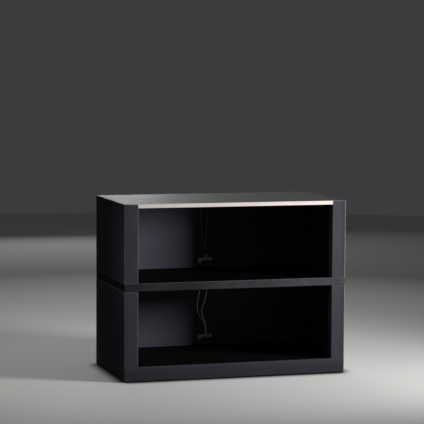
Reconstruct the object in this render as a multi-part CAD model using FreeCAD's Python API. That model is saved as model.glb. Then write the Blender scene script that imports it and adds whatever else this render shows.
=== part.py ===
import FreeCAD, Part
import math
import os

# Open-front cabinet with an upper and a lower bay, a recessed middle board and a hollow base.
# Millimetres, +Z up. The origin is on the floor under the middle of the cabinet, and the
# open front faces -Y. Right-hand pieces are modelled, and left-hand ones are their mirror images.

Vector = FreeCAD.Vector

# Overall size
width = 900.0
depth = 460.0

# Heights, from the floor up
pad_height = 4.0
base_height = 56.0
lower_bay_height = 290.0
middle_thickness = 32.0
upper_bay_height = 290.0
top_thickness = 15.0

# Boards
side_thickness = 18.0
deck_thickness = 18.0
rail_thickness = 18.0
back_thickness = 8.0
stile_width = 54.0
stile_depth = 42.0
middle_side_inset = 1.0
middle_front_inset = 2.0
arris_radius = 1.5

# How near two places have to be to count as one
touching = 0.001

# Rabbets that the back panels lie in
side_rabbet = 9.0
deck_rabbet = 10.0
top_rabbet = 8.0
back_play = 0.5
back_joint = 1.0

# Metal trim on the front edge of the top
trim_face = 3.0
tongue_thickness = 2.0
tongue_depth = 8.0
trim_arris = 0.6

# Dowels: one end lies in a board's face, the other in a board's edge or end
dowel_radius = 3.0
dowel_in_face = 10.0
dowel_in_edge = 20.0
dowel_count = 3
dowel_end_inset = 90.0

# Countersunk screws of the back panels and the connector blocks
screw_radius = 1.75
screw_head_radius = 3.5
screw_head_depth = 2.2
back_screw_length = 25.0
block_screw_length = 17.0
screw_count_across = 5
screw_count_up = 2
screw_end_inset = 60.0
recess_width = 0.8
recess_length = 3.6
recess_depth = 1.2

# Angle brackets, with a pan-head screw through each leg
bracket_leg = 14.0
bracket_width = 14.0
bracket_thickness = 1.5
wall_bracket_y = 10.0
back_bracket_inset = 30.0
pan_head_radius = 3.0
pan_head_height = 1.8
pan_head_arris = 0.8
pan_shank_radius = 1.5
pan_screw_length = 9.0

# Light bar let into the underside of the board above each bay
light_length = 720.0
light_width = 16.0
light_height = 9.0
light_wall = 1.2
light_setback = 45.0
tape_width = 10.0
tape_thickness = 0.6
diffuser_thickness = 1.2
cap_thickness = 1.5
duct_radius = 2.0

# Single-core leads, in pairs, and the grommets that they hang from
lead_radius = 1.1
lead_setback = 8.0
lower_lead_xs = (-16.0, 13.0)
upper_lead_xs = (-11.0, 17.0)
grommet_radius = 3.5
grommet_depth = 8.0
flange_radius = 5.0
flange_height = 2.0

# Connector block on the back panel of each bay
block_x = 6.0
block_width = 58.0
block_height = 11.0
block_depth = 12.0
lower_block_lift = 34.0
upper_block_lift = 30.0
block_arris = 0.8
inlet_width = 13.0
inlet_height = 20.0
inlet_drop = 8.0
socket_count = 5
socket_pitch = 7.0
socket_width = 3.2
socket_height = 5.0
socket_lift = 2.0
socket_depth = 6.0
socket_inset = 4.5
block_screw_inset = 3.6
jack_radius = 2.75
jack_depth = 8.0

# Two-pole plug in the top of the block
plug_x = 10.5
plug_width = 9.0
plug_thickness = 6.0
plug_seat = 5.0
plug_stand = 10.0
plug_lead_spacing = 4.0

# Grommet in the back panel behind the block's supply inlet
supply_bore_radius = 4.5
supply_grommet_radius = 6.0
supply_flange_radius = 8.5
supply_flange_thickness = 1.5

# Levelling feet and the blocks that hold them
corner_block = 60.0
pad_radius = 18.0
pad_arris = 1.0
stem_radius = 4.0
stem_length = 30.0
stem_seat = 2.5
stem_end_gap = 2.0
thread_clearance = 0.05
insert_radius = 7.0
insert_length = 16.0
insert_flange_radius = 10.0
insert_flange_thickness = 1.5

# Levels and planes worked out from the sizes above
base_bottom = pad_height
base_top = base_bottom + base_height
rail_top = base_top - deck_thickness
middle_bottom = base_top + lower_bay_height
middle_top = middle_bottom + middle_thickness
middle_centre = (middle_bottom + middle_top) / 2
top_bottom = middle_top + upper_bay_height
top_top = top_bottom + top_thickness
side_outer = width / 2
side_inner = side_outer - side_thickness
stile_inner = side_outer - stile_width
front = -depth / 2
rear = depth / 2
back_face = rear - back_thickness
rabbet_x = side_inner + side_rabbet
light_y = back_face - light_setback
lead_y = back_face - lead_setback
block_front = back_face - block_depth
block_left = block_x - block_width / 2
inlet_x = block_left + inlet_width / 2
foot_x = side_outer - rail_thickness - corner_block / 2
foot_y = rear - rail_thickness - corner_block / 2

# Bends of each lead between its grommet and its plug, as x and z
lower_left_bends = [
    (-15.5, 320.0), (-17.0, 287.0), (-24.0, 250.0), (-28.0, 215.0), (-19.0, 185.0),
    (0.0, 160.0), (9.0, 139.0),
]
lower_right_bends = [
    (12.0, 320.0), (13.5, 287.0), (7.0, 247.0), (-10.5, 209.0), (-3.0, 178.0),
    (8.5, 156.0), (12.0, 138.0),
]
upper_left_bends = [
    (-12.0, 642.0), (-11.5, 607.0), (-13.0, 571.0), (-10.0, 537.0), (-6.5, 505.0),
    (0.5, 476.0), (6.5, 455.0),
]
upper_right_bends = [
    (16.5, 642.0), (17.0, 607.0), (14.0, 571.0), (10.0, 537.0), (8.0, 506.0),
    (7.0, 477.0), (10.5, 457.0),
]


def box(x_span, y_span, z_span):
    """Box between two places on each axis."""
    size = [span[1] - span[0] for span in (x_span, y_span, z_span)]
    return Part.makeBox(*size, Vector(x_span[0], y_span[0], z_span[0]))


def lies_on(edge, board, face):
    """True where the whole edge lies on the named face of the board's box."""
    near, far = edge.BoundBox, board.BoundBox
    distance = {
        "left": near.XMax - far.XMin,
        "right": far.XMax - near.XMin,
        "front": near.YMax - far.YMin,
        "back": far.YMax - near.YMin,
        "bottom": near.ZMax - far.ZMin,
        "top": far.ZMax - near.ZMin,
    }[face]
    return abs(distance) < touching


def eased_box(x_span, y_span, z_span, arrises, radius=arris_radius):
    """Box with the named arrises rounded, each named by the two faces that meet there."""
    board = box(x_span, y_span, z_span)
    edges = []
    for arris in arrises:
        first, second = arris.split()
        edges += [e for e in board.Edges if lies_on(e, board, first) and lies_on(e, board, second)]
    return board.makeFillet(radius, edges)


def mirrored(shape):
    """Left-hand twin of a right-hand piece."""
    return shape.mirror(Vector(0, 0, 0), Vector(1, 0, 0))


def with_twins(shapes):
    """Right-hand pieces and their left-hand twins, as one list."""
    return shapes + [mirrored(shape) for shape in shapes]


def spaced(first, last, count):
    """Evenly spaced places from first to last."""
    step = (last - first) / (count - 1)
    return [first + step * i for i in range(count)]


def placed(shape, point, direction):
    """Shape built along +Z from the origin, put at a point along a direction."""
    shape.Placement = FreeCAD.Placement(point, FreeCAD.Rotation(Vector(0, 0, 1), direction))
    return shape


# Fasteners

def cross_recess():
    """Cross-shaped cut for a driver, going up from the origin."""
    half_width, half_length = recess_width / 2, recess_length / 2
    bar = box((-half_width, half_width), (-half_length, half_length), (0, recess_depth))
    other = box((-half_length, half_length), (-half_width, half_width), (0, recess_depth))
    return bar.fuse(other)


def countersunk_body(point, inward, length):
    """Countersunk screw without its recess, head flush with the surface at the point."""
    head = Part.makeCone(screw_head_radius, screw_radius, screw_head_depth)
    shank = Part.makeCylinder(screw_radius, length)
    return placed(head.fuse(shank).removeSplitter(), point, inward)


def countersunk_screw(point, inward, length):
    """Countersunk screw with its cross recess."""
    return countersunk_body(point, inward, length).cut(placed(cross_recess(), point, inward))


def pan_body(point, inward):
    """Pan-head screw without its recess, head standing on the surface at the point."""
    head = Part.makeCylinder(pan_head_radius, pan_head_height, Vector(0, 0, -pan_head_height))
    top_edges = [e for e in head.Edges if abs(e.BoundBox.ZMax + pan_head_height) < touching]
    head = head.makeFillet(pan_head_arris, top_edges)
    shank = Part.makeCylinder(pan_shank_radius, pan_screw_length)
    return placed(head.fuse(shank), point, inward)


def pan_screw(point, inward):
    """Pan-head screw with its cross recess."""
    outer = point - inward * pan_head_height
    return pan_body(point, inward).cut(placed(cross_recess(), outer, inward))


def dowel(point, into_edge):
    """Dowel through the joint at the point, long end along into_edge."""
    start = point - into_edge * dowel_in_face
    return Part.makeCylinder(dowel_radius, dowel_in_face + dowel_in_edge, start, into_edge)


def side_dowels(joint_z, upward):
    """Row of dowels under or over a right-hand side panel, and one in the stile before it."""
    ys = spaced(front + dowel_end_inset, rear - dowel_end_inset, dowel_count)
    spots = [Vector((side_inner + side_outer) / 2, y, joint_z) for y in ys]
    spots.append(Vector((stile_inner + side_inner) / 2, front + stile_depth / 2, joint_z))
    return [dowel(spot, upward) for spot in spots]


def lower_dowels():
    """Dowels from the lower sides and stiles into the base deck and the middle board."""
    up, down = Vector(0, 0, 1), Vector(0, 0, -1)
    return with_twins(side_dowels(base_top, up) + side_dowels(middle_bottom, down))


def upper_dowels():
    """Dowels from the upper sides and stiles into the middle board and the top."""
    ys = spaced(front + dowel_end_inset, rear - dowel_end_inset, dowel_count)
    top_middle = (top_bottom + top_top) / 2
    pegs = side_dowels(middle_top, Vector(0, 0, 1))
    pegs += [dowel(Vector(side_inner, y, top_middle), Vector(-1, 0, 0)) for y in ys]
    stile_spot = Vector((stile_inner + side_inner) / 2, front + stile_depth / 2, top_bottom)
    pegs.append(dowel(stile_spot, Vector(0, 0, -1)))
    return with_twins(pegs)


def back_screw_points(low_z, high_z, side_low, side_high):
    """Places of one back panel's screws on its rear face."""
    edge_x = (side_inner + rabbet_x) / 2
    points = []
    for x in spaced(-side_inner + screw_end_inset, side_inner - screw_end_inset, screw_count_across):
        points += [Vector(x, rear, low_z), Vector(x, rear, high_z)]
    for z in spaced(side_low + screw_end_inset, side_high - screw_end_inset, screw_count_up):
        points += [Vector(edge_x, rear, z), Vector(-edge_x, rear, z)]
    return points


def lower_back_points():
    """Screw places of the lower back panel."""
    deck_z = base_top - deck_rabbet / 2
    middle_z = (middle_bottom + middle_centre) / 2
    return back_screw_points(deck_z, middle_z, base_top, middle_bottom)


def upper_back_points():
    """Screw places of the upper back panel."""
    middle_z = (middle_centre + middle_top) / 2
    top_z = top_bottom + top_rabbet / 2
    return back_screw_points(middle_z, top_z, middle_top, top_bottom)


def back_screws(points, maker):
    """Back panel screws at the points, made whole or as plain bodies."""
    return [maker(point, Vector(0, -1, 0), back_screw_length) for point in points]


# Base

def base_deck():
    """Board that is the top of the base and the floor of the lower bay."""
    arrises = ["front top", "left top", "right top", "front left", "front right", "back left", "back right"]
    deck = eased_box((-side_outer, side_outer), (front, rear), (rail_top, base_top), arrises)
    return deck.cut(box((-rabbet_x, rabbet_x), (back_face, rear), (base_top - deck_rabbet, base_top)))


def base_long_rail(y_span, face):
    """Rail along the front or the back of the base."""
    arrises = [face + " left", face + " right", face + " bottom"]
    return eased_box((-side_outer, side_outer), y_span, (base_bottom, rail_top), arrises)


def base_side_rail():
    """Rail along the right end of the base, between the long rails."""
    y_span = (front + rail_thickness, rear - rail_thickness)
    x_span = (side_outer - rail_thickness, side_outer)
    return eased_box(x_span, y_span, (base_bottom, rail_top), ["right bottom"])


def at_feet(shape):
    """Copies of a shape made at the origin: front left, front right, back left and back right."""
    copies = []
    for y in (-foot_y, foot_y):
        for x in (-foot_x, foot_x):
            copy = shape.copy()
            copy.translate(Vector(x, y, 0))
            copies.append(copy)
    return copies


def foot_insert_body():
    """Outside of the threaded insert, flange flush with the underside of its block."""
    flange = Part.makeCylinder(insert_flange_radius, insert_flange_thickness, Vector(0, 0, base_bottom))
    barrel = Part.makeCylinder(insert_radius, insert_length, Vector(0, 0, base_bottom))
    return flange.fuse(barrel).removeSplitter()


def foot_insert():
    """Threaded insert with its bore."""
    bore = Part.makeCylinder(stem_radius + thread_clearance, insert_length, Vector(0, 0, base_bottom))
    return foot_insert_body().cut(bore)


def base_corner_block():
    """Block glued into a corner of the base, bored for the insert and the end of the stem."""
    half = corner_block / 2
    block = box((-half, half), (-half, half), (base_bottom, rail_top))
    room_height = stem_length + stem_end_gap
    stem_room = Part.makeCylinder(insert_radius, room_height, Vector(0, 0, base_bottom))
    return block.cut(foot_insert_body()).cut(stem_room)


def foot_stem():
    """Threaded stem of a levelling foot, standing in a seat in the pad."""
    return Part.makeCylinder(stem_radius, stem_seat + stem_length, Vector(0, 0, pad_height - stem_seat))


def foot_pad():
    """Round pad of a levelling foot."""
    pad = Part.makeCylinder(pad_radius, pad_height)
    floor_edges = [e for e in pad.Edges if abs(e.BoundBox.ZMax) < touching]
    return pad.makeFillet(pad_arris, floor_edges).cut(foot_stem())


# Sides, stiles, boards and back panels

def side_panel(bottom, top, arrises, rabbet_top):
    """Right-hand side panel with a rabbet for the back panel."""
    arrises = ["right front", "right back"] + arrises
    panel = eased_box((side_inner, side_outer), (front, rear), (bottom, top), arrises)
    return panel.cut(box((side_inner, rabbet_x), (back_face, rear), (bottom, rabbet_top)))


def lower_side():
    """Right-hand side panel of the lower bay."""
    arrises = ["right bottom", "front bottom", "right top", "front top"]
    return side_panel(base_top, middle_bottom, arrises, middle_bottom)


def upper_side():
    """Right-hand side panel of the upper bay, up to the top surface."""
    arrises = ["right bottom", "front bottom", "right top", "front top", "back top"]
    return side_panel(middle_top, top_top, arrises, top_bottom + top_rabbet)


def stile(bottom, top, joint_arrises):
    """Right-hand front stile, glued to the inside of its side panel."""
    arrises = ["left front", "left back"] + joint_arrises
    return eased_box((stile_inner, side_inner), (front, front + stile_depth), (bottom, top), arrises)


def middle_board():
    """Board between the bays, set back from the sides and stiles, rabbeted for the back panels."""
    half_width = side_outer - middle_side_inset
    arrises = ["front top", "front bottom", "left top", "left bottom", "right top", "right bottom"]
    y_span = (front + middle_front_inset, rear)
    z_span = (middle_bottom, middle_top)
    board = eased_box((-half_width, half_width), y_span, z_span, arrises)
    return board.cut(box((-rabbet_x, rabbet_x), (back_face, rear), z_span))


def trim_tongue():
    """Tongue behind the trim's face, and the groove in the top that it fills."""
    middle = (top_bottom + top_top) / 2
    y_span = (front + trim_face, front + trim_face + tongue_depth)
    z_span = (middle - tongue_thickness / 2, middle + tongue_thickness / 2)
    return box((-stile_inner, stile_inner), y_span, z_span)


def top_trim():
    """T-section metal trim between the upper stiles."""
    arrises = ["front top", "front bottom"]
    x_span = (-stile_inner, stile_inner)
    face = eased_box(x_span, (front, front + trim_face), (top_bottom, top_top), arrises, trim_arris)
    return face.fuse(trim_tongue())


def top_panel():
    """Top board between the upper sides, notched for the trim and rabbeted for the back panel."""
    x_span = (-side_inner, side_inner)
    panel = eased_box(x_span, (front, rear), (top_bottom, top_top), ["front top", "back top"])
    panel = panel.cut(box((-stile_inner, stile_inner), (front, front + trim_face), (top_bottom, top_top)))
    panel = panel.cut(trim_tongue())
    return panel.cut(box(x_span, (back_face, rear), (top_bottom, top_bottom + top_rabbet)))


def supply_grommet_body(block_bottom):
    """Outside of the grommet behind a block's supply inlet."""
    axis_point = Vector(inlet_x, back_face, inlet_z(block_bottom))
    barrel = Part.makeCylinder(supply_grommet_radius, back_thickness, axis_point, Vector(0, 1, 0))
    flange_point = Vector(inlet_x, rear - supply_flange_thickness, axis_point.z)
    flange = Part.makeCylinder(supply_flange_radius, supply_flange_thickness, flange_point, Vector(0, 1, 0))
    return barrel.fuse(flange).removeSplitter()


def supply_grommet(block_bottom):
    """Grommet that a supply lead goes through to the block's inlet."""
    axis_point = Vector(inlet_x, back_face, inlet_z(block_bottom))
    bore = Part.makeCylinder(supply_bore_radius, back_thickness, axis_point, Vector(0, 1, 0))
    return supply_grommet_body(block_bottom).cut(bore)


def back_panel(bottom, top):
    """Back panel lying in the rabbets of the sides."""
    half_width = rabbet_x - back_play
    return box((-half_width, half_width), (back_face, rear), (bottom, top))


def lower_back_panel():
    """Back panel from the base deck to the middle of the middle board."""
    return back_panel(base_top - deck_rabbet, middle_centre - back_joint / 2)


def upper_back_panel():
    """Back panel from the middle of the middle board to the top, narrower in the top's rabbet."""
    panel = back_panel(middle_centre + back_joint / 2, top_bottom)
    half_width = side_inner - back_play
    head_z = (top_bottom, top_bottom + top_rabbet)
    return panel.fuse(box((-half_width, half_width), (back_face, rear), head_z)).removeSplitter()


# Brackets

def wall_bracket():
    """Angle bracket between the right-hand upper side and the middle board."""
    y_span = (wall_bracket_y - bracket_width / 2, wall_bracket_y + bracket_width / 2)
    inner = side_inner - bracket_thickness
    upright = box((inner, side_inner), y_span, (middle_top, middle_top + bracket_leg))
    foot = box((side_inner - bracket_leg, side_inner), y_span, (middle_top, middle_top + bracket_thickness))
    return upright.fuse(foot).removeSplitter()


def back_bracket():
    """Angle bracket between the lower back panel and the base deck, on the right."""
    middle = side_inner - back_bracket_inset
    x_span = (middle - bracket_width / 2, middle + bracket_width / 2)
    upright = box(x_span, (back_face - bracket_thickness, back_face), (base_top, base_top + bracket_leg))
    foot = box(x_span, (back_face - bracket_leg, back_face), (base_top, base_top + bracket_thickness))
    return upright.fuse(foot).removeSplitter()


def bracket_screws(maker):
    """Screws of the right-hand brackets, made whole or as plain bodies."""
    reach = (bracket_leg + bracket_thickness) / 2
    back_x = side_inner - back_bracket_inset
    down, back, right = Vector(0, 0, -1), Vector(0, 1, 0), Vector(1, 0, 0)
    return [
        maker(Vector(side_inner - bracket_thickness, wall_bracket_y, middle_top + reach), right),
        maker(Vector(side_inner - reach, wall_bracket_y, middle_top + bracket_thickness), down),
        maker(Vector(back_x, back_face - bracket_thickness, base_top + reach), back),
        maker(Vector(back_x, back_face - reach, base_top + bracket_thickness), down),
    ]


# Lights

def light_section(x_span, inset, z_span):
    """Stretch of a light bar's width, taken in by the inset on both sides."""
    half_width = light_width / 2 - inset
    return box(x_span, (light_y - half_width, light_y + half_width), z_span)


def light_channel(underside):
    """Metal channel of a light bar, open downwards."""
    x_span = (-light_length / 2, light_length / 2)
    outside = light_section(x_span, 0, (underside, underside + light_height))
    return outside.cut(light_section(x_span, light_wall, (underside, underside + light_height - light_wall)))


def light_tape(underside):
    """Strip of lamps on the channel's ceiling."""
    ceiling = underside + light_height - light_wall
    x_span = (-light_length / 2, light_length / 2)
    return light_section(x_span, (light_width - tape_width) / 2, (ceiling - tape_thickness, ceiling))


def light_diffuser(underside):
    """Diffuser between the channel's walls, flush with the underside."""
    x_span = (-light_length / 2, light_length / 2)
    return light_section(x_span, light_wall, (underside, underside + diffuser_thickness))


def light_caps(underside):
    """End caps of a light bar."""
    x_span = (light_length / 2, light_length / 2 + cap_thickness)
    return with_twins([light_section(x_span, 0, (underside, underside + light_height))])


def light_groove(underside):
    """Cut in a board for a light bar and its caps."""
    half_length = light_length / 2 + cap_thickness
    return light_section((-half_length, half_length), 0, (underside, underside + light_height))


def lead_grommet(x, underside):
    """Grommet under a board, with the spigot that holds it in the board."""
    flange = Part.makeCylinder(flange_radius, flange_height, Vector(x, lead_y, underside - flange_height))
    spigot = Part.makeCylinder(grommet_radius, grommet_depth, Vector(x, lead_y, underside))
    return flange.fuse(spigot)


def lead_duct(x, underside):
    """Hole from the light's groove to a grommet, for the lead."""
    start = Vector(x, light_y, underside + light_height / 2)
    return Part.makeCylinder(duct_radius, lead_y - light_y, start, Vector(0, 1, 0))


def light_cuts(lead_xs, underside):
    """All that is cut out of a board for the light under it."""
    cuts = [light_groove(underside)]
    for x in lead_xs:
        cuts += [lead_grommet(x, underside), lead_duct(x, underside)]
    return cuts


# Connector blocks and leads

def inlet_z(block_bottom):
    """Height of the supply inlet in the block's taller end."""
    return block_bottom + block_height - inlet_drop


def block_plug(block_bottom):
    """Two-pole plug seated in the top of a block."""
    block_top = block_bottom + block_height
    middle_y = (block_front + back_face) / 2
    x_span = (plug_x - plug_width / 2, plug_x + plug_width / 2)
    y_span = (middle_y - plug_thickness / 2, middle_y + plug_thickness / 2)
    arrises = ["left front", "right front", "left back", "right back"]
    return eased_box(x_span, y_span, (block_top - plug_seat, block_top + plug_stand), arrises, block_arris)


def block_screw_points(block_bottom):
    """Places of a block's screws on its front face."""
    low_x = block_left + block_screw_inset
    low_z = block_bottom + block_height - inlet_height + block_screw_inset
    high_x = block_left + block_width - block_screw_inset
    return [Vector(low_x, block_front, low_z), Vector(high_x, block_front, block_bottom + block_height / 2)]


def block_screws(block_bottom, maker):
    """Screws of one block, made whole or as plain bodies."""
    return [maker(point, Vector(0, 1, 0), block_screw_length) for point in block_screw_points(block_bottom)]


def connector_block(block_bottom):
    """Block with a row of sockets, a taller end with the supply inlet, and a seat for the plug."""
    block_top = block_bottom + block_height
    y_span = (block_front, back_face)
    arrises = ["front top", "front bottom", "front left", "front right"]
    x_span = (block_left, block_left + block_width)
    block = eased_box(x_span, y_span, (block_bottom, block_top), arrises, block_arris)
    inlet_x_span = (block_left, block_left + inlet_width)
    end = eased_box(inlet_x_span, y_span, (block_top - inlet_height, block_top), arrises, block_arris)
    block = block.fuse(end).removeSplitter()
    socket_y = (block_front, block_front + socket_depth)
    socket_z = (block_bottom + socket_lift, block_bottom + socket_lift + socket_height)
    for i in range(socket_count):
        left = block_left + inlet_width + socket_inset + socket_pitch * i
        block = block.cut(box((left, left + socket_width), socket_y, socket_z))
    jack_point = Vector(inlet_x, back_face, inlet_z(block_bottom))
    jack = Part.makeCylinder(jack_radius, jack_depth, jack_point, Vector(0, -1, 0))
    return block.cut([jack, block_plug(block_bottom)] + block_screws(block_bottom, countersunk_body))


def lead_route(x, underside, bends, end_x, block_bottom):
    """Points of a lead from its grommet to the top of the plug."""
    start = Vector(x, lead_y, underside - flange_height)
    middle_y = (block_front + back_face) / 2
    end = Vector(end_x, middle_y, block_bottom + block_height + plug_stand)
    share = (middle_y - lead_y) / (len(bends) + 1)
    middle = [Vector(bend[0], lead_y + share * (i + 1), bend[1]) for i, bend in enumerate(bends)]
    return [start] + middle + [end]


def rounded_path(points):
    """Straight runs joined by tangent arcs that take a share of each run, with the least radius."""
    bend_share = 0.45
    edges = []
    radii = []
    reached = points[0]
    for before, corner, after in zip(points, points[1:], points[2:]):
        arriving = (corner - before).normalize()
        leaving = (after - corner).normalize()
        turn = arriving.getAngle(leaving)
        trim = bend_share * min((corner - before).Length, (after - corner).Length)
        radius = trim / math.tan(turn / 2)
        inward = (leaving - arriving).normalize()
        crest = corner + inward * (radius / math.cos(turn / 2) - radius)
        arc_start = corner - arriving * trim
        arc_end = corner + leaving * trim
        edges.append(Part.LineSegment(reached, arc_start).toShape())
        edges.append(Part.Arc(arc_start, crest, arc_end).toShape())
        radii.append(radius)
        reached = arc_end
    edges.append(Part.LineSegment(reached, points[-1]).toShape())
    return Part.Wire(edges), min(radii)


def lead(name, route):
    """Round lead along its route."""
    path, least_radius = rounded_path(route)
    section = Part.Wire(Part.makeCircle(lead_radius, route[0], route[1] - route[0]))
    tube = path.makePipeShell([section], True, False)
    share = tube.Volume / (math.pi * lead_radius ** 2 * path.Length)
    print(f"{name}: {path.Length:.1f} mm long, least radius {least_radius:.1f} mm, volume share {share:.4f}")
    return tube


def bay_leads(name, xs, underside, bends, block_bottom):
    """The two leads of a bay, by node name."""
    ends = (plug_x - plug_lead_spacing / 2, plug_x + plug_lead_spacing / 2)
    leads = {}
    for side, x, side_bends, end_x in zip(("left", "right"), xs, bends, ends):
        node = f"{name}_{side}_lead"
        leads[node] = lead(node, lead_route(x, underside, side_bends, end_x, block_bottom))
    return leads


def make_parts():
    """Every piece of the cabinet, by node name."""
    lower_block = base_top + lower_block_lift
    upper_block = middle_top + upper_block_lift
    pegs = lower_dowels() + upper_dowels()
    lower_holes = back_screws(lower_back_points(), countersunk_body)
    upper_holes = back_screws(upper_back_points(), countersunk_body)
    bracket_holes = with_twins(bracket_screws(pan_body))
    lower_block_holes = block_screws(lower_block, countersunk_body) + [supply_grommet_body(lower_block)]
    upper_block_holes = block_screws(upper_block, countersunk_body) + [supply_grommet_body(upper_block)]

    lower_right_side = lower_side().cut(pegs + lower_holes)
    upper_right_side = upper_side().cut(pegs + upper_holes + bracket_holes)
    lower_right_stile = stile(base_top, middle_bottom, ["front bottom", "front top"]).cut(pegs)
    upper_right_stile = stile(middle_top, top_bottom, ["front bottom"]).cut(pegs)
    middle_holes = pegs + lower_holes + upper_holes + bracket_holes
    side_rail = base_side_rail()

    parts = {
        "base_deck": base_deck().cut(pegs + lower_holes + bracket_holes),
        "base_front_rail": base_long_rail((front, front + rail_thickness), "front"),
        "base_back_rail": base_long_rail((rear - rail_thickness, rear), "back"),
        "base_right_rail": side_rail,
        "base_left_rail": mirrored(side_rail),
        "base_corner_blocks": Part.makeCompound(at_feet(base_corner_block())),
        "foot_inserts": Part.makeCompound(at_feet(foot_insert())),
        "lower_right_side": lower_right_side,
        "lower_left_side": mirrored(lower_right_side),
        "lower_right_stile": lower_right_stile,
        "lower_left_stile": mirrored(lower_right_stile),
        "lower_back_panel": lower_back_panel().cut(lower_holes + lower_block_holes + bracket_holes),
        "lower_back_screws": Part.makeCompound(back_screws(lower_back_points(), countersunk_screw)),
        "lower_dowels": Part.makeCompound(lower_dowels()),
        "middle_board": middle_board().cut(middle_holes + light_cuts(lower_lead_xs, middle_bottom)),
        "upper_right_side": upper_right_side,
        "upper_left_side": mirrored(upper_right_side),
        "upper_right_stile": upper_right_stile,
        "upper_left_stile": mirrored(upper_right_stile),
        "upper_back_panel": upper_back_panel().cut(upper_holes + upper_block_holes),
        "upper_back_screws": Part.makeCompound(back_screws(upper_back_points(), countersunk_screw)),
        "upper_dowels": Part.makeCompound(upper_dowels()),
        "top_panel": top_panel().cut(pegs + upper_holes + light_cuts(upper_lead_xs, top_bottom)),
        "top_trim": top_trim(),
        "wall_brackets": Part.makeCompound(with_twins([wall_bracket().cut(bracket_screws(pan_body))])),
        "back_brackets": Part.makeCompound(with_twins([back_bracket().cut(bracket_screws(pan_body))])),
        "bracket_screws": Part.makeCompound(with_twins(bracket_screws(pan_screw))),
        "connector_screws": Part.makeCompound(
            block_screws(lower_block, countersunk_screw) + block_screws(upper_block, countersunk_screw)),
        "supply_grommets": Part.makeCompound([supply_grommet(lower_block), supply_grommet(upper_block)]),
    }
    bays = (
        ("lower", middle_bottom, lower_lead_xs, (lower_left_bends, lower_right_bends), lower_block),
        ("upper", top_bottom, upper_lead_xs, (upper_left_bends, upper_right_bends), upper_block),
    )
    for name, underside, xs, bends, block_bottom in bays:
        parts[f"{name}_light_channel"] = light_channel(underside)
        parts[f"{name}_light_tape"] = light_tape(underside)
        parts[f"{name}_light_diffuser"] = light_diffuser(underside)
        parts[f"{name}_light_caps"] = Part.makeCompound(light_caps(underside))
        parts[f"{name}_lead_grommets"] = Part.makeCompound([lead_grommet(x, underside) for x in xs])
        parts[f"{name}_connector_block"] = connector_block(block_bottom)
        parts[f"{name}_lead_plug"] = block_plug(block_bottom)
        parts.update(bay_leads(name, xs, underside, bends, block_bottom))
    places = ("front_left", "front_right", "back_left", "back_right")
    for place, pad, stem in zip(places, at_feet(foot_pad()), at_feet(foot_stem())):
        parts[f"foot_{place}_pad"] = pad
        parts[f"foot_{place}_stem"] = stem
    return parts


os.makedirs("parts", exist_ok=True)
for node, shape in make_parts().items():
    shape.exportStep(f"parts/{node}.step")
    print(f"{node}: {len(shape.Solids)} solids, valid {shape.isValid()}, {shape.Volume / 1000:.1f} cm3")
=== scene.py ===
import math
from collections import namedtuple

import bpy
from mathutils import Euler, Matrix, Vector


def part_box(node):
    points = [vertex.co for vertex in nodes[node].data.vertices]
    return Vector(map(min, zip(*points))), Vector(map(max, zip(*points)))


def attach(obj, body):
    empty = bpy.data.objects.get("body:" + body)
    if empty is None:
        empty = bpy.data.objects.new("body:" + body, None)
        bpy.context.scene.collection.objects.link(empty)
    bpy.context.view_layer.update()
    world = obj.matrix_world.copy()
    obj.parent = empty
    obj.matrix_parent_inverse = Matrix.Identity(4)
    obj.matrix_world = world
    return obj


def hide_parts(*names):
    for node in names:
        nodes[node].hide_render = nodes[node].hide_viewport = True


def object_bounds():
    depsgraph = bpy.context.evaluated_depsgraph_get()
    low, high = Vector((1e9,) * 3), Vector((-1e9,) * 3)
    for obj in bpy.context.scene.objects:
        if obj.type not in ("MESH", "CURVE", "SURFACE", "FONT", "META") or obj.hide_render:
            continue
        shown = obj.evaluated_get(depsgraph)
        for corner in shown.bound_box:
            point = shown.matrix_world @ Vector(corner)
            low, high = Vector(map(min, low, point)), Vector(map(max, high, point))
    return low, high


bl_info = {
    "name": "Open-front cabinet",
    "version": (1, 0, 0),
    "blender": (4, 5, 0),
    "location": "View3D > Sidebar > Cabinet",
    "description": "Finishes, leads and studio for a lacquered open-front cabinet",
    "category": "Object",
}

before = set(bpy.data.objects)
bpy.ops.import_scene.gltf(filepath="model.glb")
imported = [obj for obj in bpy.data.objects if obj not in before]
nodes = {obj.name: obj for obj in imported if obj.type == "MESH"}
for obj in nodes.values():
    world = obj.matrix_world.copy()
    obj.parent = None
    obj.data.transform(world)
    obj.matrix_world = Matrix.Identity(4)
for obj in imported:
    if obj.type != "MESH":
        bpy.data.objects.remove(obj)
cad_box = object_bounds()

# Nodes of each finish


def in_each_bay(piece):
    """Names of a piece that each bay has."""
    return [f"{bay}_{piece}" for bay in ("lower", "upper")]


BASE_RAILS = [f"base_{place}_rail" for place in ("front", "back", "left", "right")]
SIDES = in_each_bay("left_side") + in_each_bay("right_side")
STILES = in_each_bay("left_stile") + in_each_bay("right_stile")
BACK_PANELS = in_each_bay("back_panel")
DOWELS = in_each_bay("dowels")
SCREWS = in_each_bay("back_screws") + ["connector_screws"]
BRACKETS = ["wall_brackets", "back_brackets"]
CHANNELS = in_each_bay("light_channel")
TAPES = in_each_bay("light_tape")
DIFFUSERS = in_each_bay("light_diffuser")
CAPS = in_each_bay("light_caps")
BLOCKS = in_each_bay("connector_block")
PLUGS = in_each_bay("lead_plug")
GROMMETS = in_each_bay("lead_grommets") + ["supply_grommets"]
FOOT_PLACES = ["front_left", "front_right", "back_left", "back_right"]

# Places that each lead follows from its grommet down to its plug, in metres, and the steps of its line
# between them

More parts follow.
